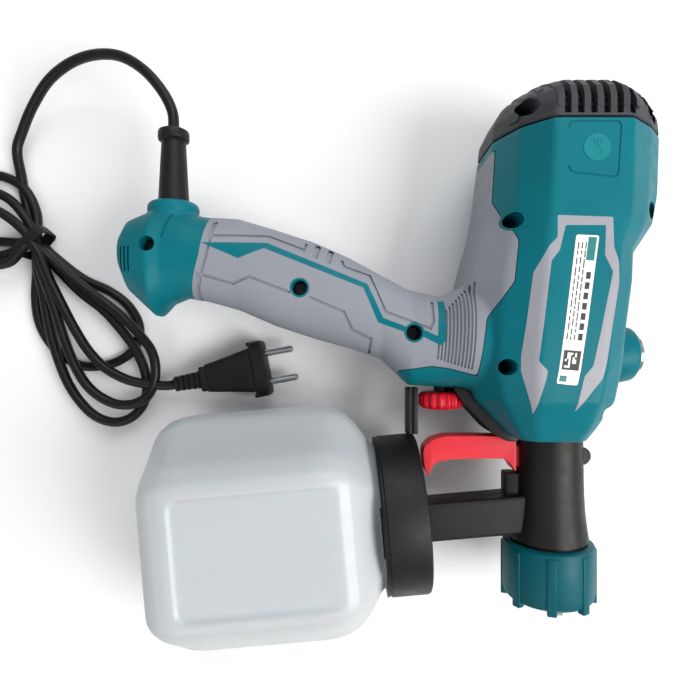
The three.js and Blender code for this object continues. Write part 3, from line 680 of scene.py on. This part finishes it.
def skins(form):
    """The soft grip skin with its grooves, small windows and ribs."""
    skin = slab(form, GRIP_OUTLINE, 0.15, SKIN)
    upper(skin)
    cuts = [bed(form, band(path, 1.5), 0.85, 0) for path in GROOVES]
    for x, y in WINDOWS:
        window = [(x - 2.4, y - 3.6), (x + 0.8, y - 4.8), (x + 2.6, y + 3.4), (x - 0.6, y + 4.8)]
        cuts.append(bed(form, window, 1.0))
    for k in range(GRIP_RIBS):
        foot = 47.5 + 1.75 * k
        line = [(foot, -5 - 0.55 * k), (foot + 1.2 + 0.12 * k, 18 + 1.9 * k)]
        cuts.append(bed(form, band(line, 0.95), 0.8, 0))
    cuts += [bed(form, outline, SKIN + 0.1, 0) for outline in STRIPES]
    cuts += wells(HOUSING_SCREWS, BORE + 1.1)
    less(skin, cuts, 38)
    skin.name = "right_grip_look"
    both(skin, "grey_grip", "right_grip", "left_grip")


def stripes(form):
    """The teal lines let into the soft skin, with a ring round each screw."""
    lines, *others = [slab(form, outline, 0.25, SKIN, 0) for outline in STRIPES]
    for x, y in HOUSING_SCREWS[1:4]:
        ring = rod("ring", "z", (x, y, 0), BORE + 1.0, MID + 1, 120, sides=48)
        within(ring, [shifted(form, 0.25)])
        others.append(less(ring, [shifted(form, -SKIN)]))
    plus(lines, others)
    upper(lines)
    less(lines, wells(HOUSING_SCREWS), 38)
    lines.name = "right_stripes"
    left = mirrored(lines, "left_stripes")
    finished(lines, "teal_plastic")
    finished(left, "teal_plastic")


def inlays(form):
    trim = slab(form, TRIM_OUTLINE, 0.1, 1.2, 0.8)
    upper(trim)
    tidy_normals(trim, 38)
    trim.name = "right_trim_look"
    both(trim, "grey_trim", "right_trim", "left_trim")


def on_label(along, across):
    """A place on the label: along from its front end to its rear, across from left to right, both 0 to 1."""
    rear_left, rear_right, front_right, front_left = [np.array(p, float) for p in LABEL_OUTLINE]
    near = front_left + (front_right - front_left) * across
    far = rear_left + (rear_right - rear_left) * across
    return tuple(near + (far - near) * along)


def mark(a, b, c, d):
    return [on_label(a, b), on_label(c, b), on_label(c, d), on_label(a, d)]


def rating_label(form):
    """A blank film with plain bars and blocks in place of printed words."""
    inward = [(0.2, -0.2), (-0.2, -0.2), (-0.2, 0.2), (0.2, 0.2)]
    outline = [(x + dx, y + dy) for (x, y), (dx, dy) in zip(LABEL_OUTLINE, inward)]
    film = upper(slab(form, outline, 0.05, 0.4, 1.0), CLEAR_TOP)
    film.name = "rating_label_look"
    tidy_normals(film, 40)
    finished(film, "label_film", "rating_label")
    rng = np.random.default_rng(7)
    dark, accent = [], [mark(0.02, 0.1, 0.06, 0.42), mark(0.985, 0.55, 0.83, 0.9)]
    for row, across in enumerate((0.14, 0.3, 0.46)):
        place = 0.3
        while place < 0.93:
            length = float(rng.uniform(0.02, 0.06))
            dark.append(mark(place, across, min(place + length, 0.95), across + 0.05))
            place += length + float(rng.uniform(0.008, 0.02))
    for k in range(7):
        dark.append(mark(0.3 + 0.068 * k, 0.64, 0.345 + 0.068 * k, 0.84))
    for i in range(9):
        for j in range(9):
            if rng.random() < 0.55 or i in (0, 8) or j in (0, 8):
                a, b = 0.1 + 0.0145 * i, 0.12 + 0.085 * j
                dark.append(mark(a, b, a + 0.0145, b + 0.085))
    printed("label_print", form, dark, INK)
    printed("label_accent_print", form, accent, INK_GREEN)


def printed(name, form, marks, material):
    """Thin print on the label: an upright box over each mark, cut down to a film on the form's skin."""
    points, faces = [], []
    for outline in marks:
        start = len(points)
        points += [(x, y, z) for z in (60, 120) for x, y in outline]
        faces += [(start, start + 3, start + 2, start + 1), (start + 4, start + 5, start + 6, start + 7)]
        for i in range(4):
            j = (i + 1) % 4
            faces.append((start + i, start + j, start + 4 + j, start + 4 + i))
    piece = made(name, points, faces)
    within(piece, [shifted(form, 0.1)])
    less(piece, [shifted(form, 0.0)], 40)
    finished(piece, "label_film", material=material)


def emblem(form):
    """A round mark of a plain drop and fan in place of the moulded picture."""
    x, y = EMBLEM_AT
    turns = np.linspace(0, 2 * math.pi, 40, endpoint=False)
    disc = slab(form, [(x + 6.8 * math.cos(t), y + 6.8 * math.sin(t)) for t in turns], 0.22, 0.4, 0)
    drop = []
    for t in np.linspace(0, 2 * math.pi, 28, endpoint=False):
        tip = 1.7 if abs(t - math.pi / 2) < 0.2 else 0
        drop.append((x + 2.0 * math.cos(t), y - 1.8 + 2.3 * math.sin(t) + tip))
    cuts = [region(drop)]
    for lean in (-0.5, 0.0, 0.5):
        base = np.array((x + 2.0 * lean, y + 1.6))
        end = base + np.array((math.sin(lean), math.cos(lean))) * 3.0
        cuts.append(region(band([base, end], 0.8)))
    less(disc, [less(cut, [shifted(form, 0.02)]) for cut in cuts], 35)
    upper(disc, CLEAR_TOP)
    tidy_normals(disc, 35)
    disc.name = "round_emblem"
    finished(disc, "teal_plastic", material=EMBLEM_TEAL)


# ---------------- rear cap
VENTS = {"count": 6, "first": 106.6, "step": 6.5, "width": 3.3, "from": 117.8}
VENT_RIB = {"half": 1.75, "radius": 1.6, "start": 121, "proud": 1.0, "depth": 2.4}
EDGE_RIBS = {"count": 3, "middle": 124.0, "first": 25.5, "step": 6.0}
EDGE_RIB = {"half": 1.5, "radius": 1.4, "start": 120, "proud": 0.8, "depth": 2.0}
CAP_REACH = [(60, 190), (100, 170)]     # X and Y of a box round the whole cap


def cap_rib(form, x, half, radius, start, proud, depth):
    """A round-ended rib along the cap at x, between two shifted skins of the form."""
    rib = region(rectangle((x - half, x + half), (start, 160)), radius)
    within(rib, [shifted(form, proud)])
    return less(rib, [shifted(form, -depth)])


def rear_cap():
    """The faceted end cap: deep vents with round ribs between them, and the filter behind them."""
    rows = stations(CAP, 1.5)
    rows[0][0] = SEAM_Y + 0.5
    cap = made("right_rear_cap_look", *loft([body_ring(row) for row in rows]))
    remeshed(cap, CAP_VOXEL)
    form = twin(cap, "cap_form")
    less(cap, [shifted(form, -2.8)])
    added = posts(form, CAP_SCREWS, 6.2, 0.4)
    for k in range(VENTS["count"] + 1):
        x = VENTS["first"] + (k - 0.5) * VENTS["step"] + VENTS["width"] / 2
        added.append(cap_rib(form, x, **VENT_RIB))
    for k in range(EDGE_RIBS["count"]):
        for side in (-1, 1):
            x = EDGE_RIBS["middle"] + side * (EDGE_RIBS["first"] + k * EDGE_RIBS["step"])
            level = block("level", *CAP_REACH, (MID - 1, 92))
            added.append(within(cap_rib(form, x, **EDGE_RIB), [level]))
    plus(cap, added)
    upper(cap)
    cuts = wells(CAP_SCREWS, BORE + 0.6)
    for k in range(VENTS["count"]):
        x = VENTS["first"] + k * VENTS["step"]
        slot = region(rectangle((x, x + VENTS["width"]), (VENTS["from"], 165)), 0.8)
        cuts.append(less(slot, [block("core", *CAP_REACH, (0, MID + 9))]))
    cuts.append(block("open_end", (60, 185), (100, SEAM_Y + 0.8), (0, CLEAR_TOP)))
    less(cap, cuts, 36)
    both(cap, "dark_plastic", "right_rear_cap", "left_rear_cap")
    air_filter(form)
    bpy.data.objects.remove(form)


def air_filter(form):
    """A pleated block of foam that fills the cap behind the vents."""
    wide = CAP_REACH[0]
    foam = block("air_filter_look", wide, (118.2, 150), (-5, 110))
    within(foam, [shifted(form, -4.2)])
    pleats = [block("pleat", wide, (y, y + 1.3), (MID + 30, 120)) for y in (121.5, 125.5, 129.5, 133.5)]
    pleats += [rod("clear", "z", (x, y, 0), 6.6, -5, 120) for x, y in CAP_SCREWS]
    less(foam, pleats, 40)
    finished(foam, "filter_foam", "air_filter")


# ---------------- front unit
def placed(piece, at, turn, axis="Z"):
    """Moves a piece drawn in a frame of its own to its place: turned about an axis, then moved."""
    back = Matrix.Translation(-Vector(SHIFT) * MM)
    there = Matrix.Translation(Vector(np.array(at) + SHIFT) * MM)
    piece.data.transform(there @ Matrix.Rotation(turn, 4, axis) @ back)
    return piece


def tilted(piece):
    """From the container's own frame, with x along its axis from its mouth."""
    return placed(piece, (*CONTAINER_MOUTH, MID), CONTAINER_TILT)


def rounded_ring(along, across, up, corner, steps=6):
    """A rounded rectangle across the x axis, as one ring of a loft."""
    outline = softened([(across, up), (-across, up), (-across, -up), (across, -up)], corner, steps)
    return [(along, y, z) for y, z in outline]


def barrel():
    """Tube, trigger lug, gusset and feed arm in one casting, bored through to the seat of the nozzle."""
    tube = turned("barrel_look", "y", BARREL, [
        (16.2, -126.8), (20.6, -126.8), (21, -126.4), (21, -110.6), (22.5, -110), (22.5, -108.6),
        (21.5, -102), (20.6, -94), (20.0, -84), (19.7, -70), (19.5, -56), (19.5, -41), (18.9, -40.3),
        (16.2, -40.3)], sides=96)
    lug = turned("lug", "z", (PIVOT[0] - 1.6, PIVOT[1], MID), [
        (0, -8), (4.2, -8), (5.2, -7), (5.2, 7), (4.2, 8), (0, 8)], sides=40)
    gusset = bevelled(block("gusset", (90.8, 104), (-90, -71.7), (MID - 6, MID + 6)), 1.0)
    arm = made("arm", *loft([rounded_ring(x, 11, 11, 2.4) for x in (25.4, 55, 84)]))
    for vertex in arm.data.vertices:
        vertex.co.y += FEED_SIDE * MM
    tilted(arm)
    foot = tilted(made("arm_foot", *loft([rounded_ring(x, 12.2, 12.2, 2.4) for x in (25.4, 26.6, 27.4)])))
    foot.data.transform(Matrix.Translation((-math.sin(CONTAINER_TILT) * FEED_SIDE * MM, FEED_SIDE * MM, 0)))
    plus(tube, [lug, gusset, arm, foot])
    cuts = [
        rod("airway", "y", BARREL, 16.2, -128, -43, sides=64),
        block("notch", (93.8, 110), (-71.6, -38), (MID - 6, MID + 6)),
        block("pocket", (110, 141), (-68, -55), (MID - 6, MID + 6)),
        rod("pin_bore", "z", (*PIVOT, MID), 2.1, -7.6, 7.2, sides=24),
    ]
    less(tube, cuts)
    seat_profile = [(2, -43), (16.4, -43), (16.4, -40.4), (2, -40.4)]
    seat = turned("seat", "y", BARREL, seat_profile, sides=64)
    plus(tube, [seat], 32)
    finished(tube, "black_plastic", "barrel")


TRIGGER_FINGER = [
    (96.3, -51.2), (91, -50.2), (70, -49.8), (55, -50.0), (47.5, -52.2), (43.0, -56.4), (42.4, -61),
    (43.6, -69.6), (45.4, -73.4), (47.2, -68.6), (48.6, -66.2), (52, -64.6), (59, -63.4), (75, -62.9),
    (90, -63.0), (93, -65.6), (96.3, -71),
]
TRIGGER_ARM = [
    (92, -55), (100, -56), (132, -57.8), (137, -58), (137, -65), (132, -65.3), (100, -69.5), (92, -64),
]
# Outline of two black plates that are painted shade: the dark band along the housing's lower edge by the
# trigger slot.
SLOT_SHADE_OUTLINE = [(58, -20), (61.5, -26.5), (70, -35.5), (80, -46.5), (88, -51.6), (96, -52), (92, -40), (72, -20)]
SPRING = {"low": -53.0, "high": -43.6, "turns": 5.5, "radius": 2.7, "wire": 0.45}


def needle_spring():
    """A coil of wire round the needle's tail."""
    low, high = SPRING["low"], SPRING["high"]
    path = []
    for t in np.linspace(0, 1, 160):
        angle = 2 * math.pi * SPRING["turns"] * t
        across, up = SPRING["radius"] * math.cos(angle), SPRING["radius"] * math.sin(angle)
        path.append((BARREL_X + across, low + (high - low) * t, MID + up))
    spring = tube_mesh("needle_spring_look", path, SPRING["wire"], 10)
    finished(spring, "steel", "needle_spring")
    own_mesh(spring)


def slot_shade_plates():
    """Two black plates that stand out of the housing beside the trigger slot; they are painted shade, the
    dark band along the housing's lower edge where the slot lies in shadow.
    """
    for name, low in (("right_slot_shade", MID + 8.5), ("left_slot_shade", MID - 14.5)):
        plate = bevelled(prism(softened(SLOT_SHADE_OUTLINE, 2.5, 4), low, low + 6, name), 0.8)
        finished(plate, "black_plastic")


def trigger():
    """The finger piece with its arm to the pivot, and the pin that it turns on."""
    finger = bevelled(prism(softened(TRIGGER_FINGER, 1.6, 4), MID - 7, MID + 7, "trigger_look"), 1.8, 3, 50)
    arm = bevelled(prism(TRIGGER_ARM, MID - 4.8, MID + 4.8, "arm"), 0.6)
    eye = rod("eye", "z", (*PIVOT, MID), 4.4, -4.8, 4.8)
    plus(finger, [arm, eye])
    cuts = [rod("pin_bore", "z", (*PIVOT, MID), 2.1, -8, 8, sides=24),
            rod("needle_bore", "y", BARREL, 3.0, -76, -50, sides=24)]
    less(finger, cuts, 40)
    finished(finger, "red_plastic", "trigger", body="trigger")
    pin = rod("trigger_pin_look", "z", (*PIVOT, MID), 1.95, -7.4, 7.1, edge=0.3)
    finished(pin, "steel", "trigger_pin")


NUT_RIBS = 8


def union_nut():
    """A castellated ring: smooth at its rear rim, with ribs that run on into teeth."""
    ring = turned("union_nut_look", "y", BARREL, [
        (21.6, -112), (24.2, -112), (25.5, -112.8), (26, -114.6), (26.1, -139), (25.4, -142.4),
        (23.6, -144.2), (17.1, -144.2), (17.1, -131.9), (21.6, -131.4)], sides=128)
    ribs, gaps = [], []
    for k in range(NUT_RIBS):
        turn = math.radians(30 + 360 / NUT_RIBS * k)
        rib = bevelled(block("rib", (-2.6, 2.6), (-146, -114.5), (22.4, 26.7)), 0.7)
        ribs.append(placed(rib, BARREL, turn, "Y"))
        gap = block("gap", (-5.0, 5.0), (-150, -142.2), (24.4, 30))
        gaps.append(placed(gap, BARREL, turn + math.pi / NUT_RIBS, "Y"))
    plus(ring, ribs)
    less(ring, gaps, 32)
    finished(ring, "deep_teal_plastic", "union_nut", body="union_nut")


def air_cap():
    """A dished ring with two horns either side of the nozzle."""
    cap = turned("air_cap_look", "y", BARREL, [
        (3.6, -141.2), (13.5, -141), (13.5, -128.2), (20.4, -127.7), (20.4, -131), (16.4, -131.6),
        (16.4, -144.6), (14.6, -146.4), (5, -146.4), (3.6, -145.4)], sides=80)
    horns = []
    for side in (-1, 1):
        horn = prism([(-4.4, -145), (4.4, -145), (3.4, -150.4), (-3.4, -150.4)], -2.5, 2.5, "horn")
        horn.data.transform(Matrix.Translation((BARREL_X * MM, 0, (MID + side * 12) * MM)))
        horns.append(bevelled(horn, 0.5))
    plus(cap, horns, 35)
    finished(cap, "white_plastic", "air_cap", body="air_cap", material=CLEAR_GREY)


def fluted(name, centre, profile, flutes, depth, sides):
    """A closed turned shape about a Y axis, fluted where it is widest: profile is (radius, place, share)."""
    turns = np.linspace(0, 2 * math.pi, sides, endpoint=False)
    wave = 1 - np.abs(np.sin(turns * flutes / 2)) ** 1.6
    rings = []
    for radius, place, share in profile:
        reach = radius - depth * share * wave
        across = centre[0] + reach * np.cos(turns)
        rings.append(np.stack([across, np.full(sides, place), centre[1] + reach * np.sin(turns)], axis=1))
    return made(name, *loft(rings), 50)


def flow_knob():
    """The fluted knob and the neck of its screw."""
    knob = fluted("flow_knob_look", (KNOB_X, MID), [
        (9.2, -24.4, 0), (11.2, -24.6, 0.4), (12.7, -25.6, 1), (13.3, -27.4, 1), (13.3, -31.6, 1),
        (12.6, -33.2, 1), (11.0, -34.2, 0.5), (9.2, -34.5, 0)], 16, 1.1, 192)
    cuts = [rod("bore", "y", (KNOB_X, 0, MID), 2.9, -36, -20),
            rod("recess", "y", (KNOB_X, 0, MID), 4.2, -36, -32.1)]
    less(knob, cuts, 45)
    finished(knob, "red_plastic", "flow_knob", body="flow_knob", material=RED_KNOB)
    neck = turned("flow_screw_look", "y", (KNOB_X, 0, MID), [
        (0, -30), (2.5, -30), (2.5, -24.1), (4.5, -24.1), (4.5, -6), (0, -6)], 40)
    finished(neck, "brass", "flow_screw", body="flow_screw", material=BLACK)


def strut():
    """The pressure tube between housing and lid, with a groove down its face."""
    bar = bevelled(block("pressure_tube_look", (32.8, 39.8), (-49.2, -22), (MID - 5, MID + 5)), 0.7)
    groove = bevelled(block("groove", (35.2, 37.4), (-52, -18), (MID + 3.6, MID + 8)), 0.3)
    less(bar, [groove], 35)
    finished(bar, "black_plastic", "pressure_tube")


# ---------------- container and lid
# The outline's corners on one quarter, and sections along the axis: [place, share of the full outline, size].
CONTAINER_QUARTER = [(68, 0), (65.4, 13), (54.5, 28.5), (45.5, 43.5), (37, 52)]
CONTAINER_STATIONS = [
    (-125, 1, 0.83), (-124, 1, 0.87), (-121.5, 1, 0.92), (-117, 1, 0.962), (-111, 1, 0.99), (-103, 1, 1),
    (-36, 1, 1), (-30, 0.985, 1), (-25, 0.95, 1), (-20, 0.88, 1), (-15, 0.76, 1), (-11, 0.6, 1),
    (-8, 0.45, 1), (-5, 0.28, 1), (-3, 0.14, 1), (-1.5, 0.04, 1), (0.5, 0, 1), (19, 0, 1),
]
NECK_RADIUS = 40.0
CONTAINER_WALL = 2.4


def container_ring(along, share, size, outline):
    """A section of the container: its full outline blended with the round neck."""
    full = softened(outline, 4.0, 5) * size
    turns = np.arctan2(full[:, 1], full[:, 0])
    neck = NECK_RADIUS * np.stack([np.cos(turns), np.sin(turns)], axis=1)
    return [(along, y, z) for y, z in share * full + (1 - share) * neck]


def container():
    """Blow-moulded bottle: rounded flanks, a sunk panel on each broad side and a short round neck."""
    above = CONTAINER_QUARTER + [(-y, z) for y, z in CONTAINER_QUARTER[::-1]]
    outline = above + [(y, -z) for y, z in above[::-1] if abs(z) > 0]
    rings = [container_ring(*row, outline) for row in stations(CONTAINER_STATIONS, 4)]
    outer = made("container_look", *loft(rings))
    panels = []
    for side in (-1, 1):
        panel = []
        for depth, spread in ((50.0, 0.0), (53, 2.0)):
            corners = rectangle((-106 - spread, -16 + spread), (30 + spread, -30 - spread))
            panel.append([(x, y, side * depth) for x, y in softened(corners, 7, 6)])
        panels.append(made("panel", *loft(panel)))
    less(outer, panels)
    remeshed(outer, CONTAINER_VOXEL)
    hollow = shifted(outer, -CONTAINER_WALL, "hollow")
    mouth = rod("mouth", "x", (0, 0, 0), 36.6, 0, 25, sides=64)
    less(outer, [hollow])
    less(outer, [mouth], 50)
    tilted(outer)
    finished(outer, "milky_plastic", "container", body="container")


def lid():
    cup = turned("container_lid_look", "x", (0, 0, 0), [
        (0, 25), (43.6, 25), (44.9, 24.4), (45.5, 23), (45.5, 3.2), (44.9, 2.6), (44.9, 1.6), (45.5, 1.2),
        (45.3, 0.5), (41, 0.5), (41, 20.8), (0, 20.8)], sides=144)
    less(cup, [rod("feed_bore", "x", (0, FEED_SIDE, 0), 3.4, 15, 30)], 30)
    tilted(cup)
    finished(cup, "black_plastic", "container_lid", material=BLACK_LID)


# ---------------- plug, guard and badge
RELIEF_RIDGES = 5
# One ridge of the plug's strain relief: (radius, place along it).
RIDGE = [(4.8, 0), (5.0, 0.4), (5.0, 2.0), (4.8, 2.4), (3.9, 2.6), (3.9, 3.6)]


def plug():
    """Moulded two-pin plug: ribbed relief, wedge grip, thick face plate with a lobe at each end."""
    profile = [(0, 0.2)]
    for k in range(RELIEF_RIDGES):
        profile += [(radius + 0.2 * k, 0.2 + 3.7 * k + along) for radius, along in RIDGE]
    profile += [(5.4, 19.5), (5.4, 21), (0, 21)]
    relief = turned("plug_look", "x", (0, 0, 0), profile, sides=48)
    collar = made("collar", *loft([rounded_ring(x, 8.2, 7.6, 2.2) for x in (18.6, 22.4)]))
    grip = made("grip", *loft([rounded_ring(x, y, z, 3.2) for x, y, z in (
        (22.2, 9.0, 8.2), (36, 11.4, 9.2), (50, 14.0, 10.6), (54, 14.6, 11))]))
    relief = plus(relief, [bevelled(collar, 0.6), bevelled(grip, 0.9)])
    plate = made("plate", *loft([rounded_ring(x, y, z, 6.5) for x, y, z in (
        (53.4, 17.2, 11.2), (54.6, 18.2, 12.4), (61.2, 18.2, 12.4), (62.0, 17.4, 11.6))]))
    lobes = [bevelled(block("lobe", (51.6, 61.6), y, (-6, 6)), 0.9) for y in ((-18.4, -15.8), (15.8, 18.4))]
    plus(relief, [plate, *lobes], 38)
    placed(relief, PLUG_AT, PLUG_TURN)
    pieces = [finished(relief, "cord_rubber", "plug_body", material=PLUG_RUBBER)]
    for number, side in ((1, -1), (2, 1)):
        pin = turned(f"plug_pin_look_{number}", "x", (0, side * 9.5, 0), [
            (0, 62.3), (2.4, 62.3), (2.4, 79.2), (2.1, 80.4), (1.3, 81.2), (0, 81.3)], 40)
        placed(pin, PLUG_AT, PLUG_TURN)
        pieces.append(finished(pin, "bright_metal", f"plug_pin_{number}"))
    return pieces


def cord_guard():
    guard = turned("cord_guard_look", "y", (COLLAR_X, 0, MID), [
        (3.5, 77), (9.6, 77), (9.6, 86.3), (8.9, 87), (8.6, 92), (7.0, 122.6), (7.8, 123.2), (8.8, 123.9),
        (9, 125), (9, 128), (8.6, 129.2), (6.6, 130.3), (3.5, 130.3)], 72, 35)
    finished(guard, "black_plastic", "cord_guard")


def top_badge():
    disc = turned("top_badge_look", "x", (0, BOSS_Y, MID), [
        (0, 166), (11.8, 166), (11.8, 168), (11.2, 168.6), (9.8, 168.7), (9.4, 168.2), (0, 168.2)], 80)
    finished(disc, "bright_metal", "top_badge")


def repaint():
    """Finer materials for the pieces inside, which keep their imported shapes."""
    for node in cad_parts.values():
        for place in node.material_slots:
            name = place.material.name.split(".")[0]
            if name in FINISHES:
                place.material = FINISHES[name]


def cord_tie():
    """A rubber strap round the crossing of the loops."""
    heading = math.atan2(LOOPS[0][0][1] - TIE[1], LOOPS[0][0][0] - TIE[0])
    strap = made("cord_tie", *loft([rounded_ring(x, 11.5, 9.6, 5) for x in (-3.6, -3.0, 3.0, 3.6)]))
    hole = made("hole", *loft([rounded_ring(x, 10.2, 8.4, 4.4) for x in (-5, 5)]))
    less(strap, [hole])
    placed(strap, (*TIE, 10.0), heading)
    tidy_normals(strap, 35)
    return finished(strap, "cord_rubber", material=PLUG_RUBBER)


def lay_cord(plug_pieces):
    """The mains lead in one tube from the guard to the plug."""
    route = smooth_path(cord_route(), 2.4)
    lead = tube_mesh("mains_lead", route, CORD_RADIUS, 16)
    finished(lead, "cord_rubber", "cord_lead", "cord_hank", "cord_tail")


# ---------------- assembly
build_stage()
lay_cord(plug() + [cord_tie()])
form = housing_form()
housing(form)
skins(form)
stripes(form)
inlays(form)
rating_label(form)
emblem(form)
bpy.data.objects.remove(form)
rear_cap()
barrel()
slot_shade_plates()
trigger()
needle_spring()
union_nut()
air_cap()
flow_knob()
strut()
container()
lid()
cord_guard()
top_badge()
repaint()
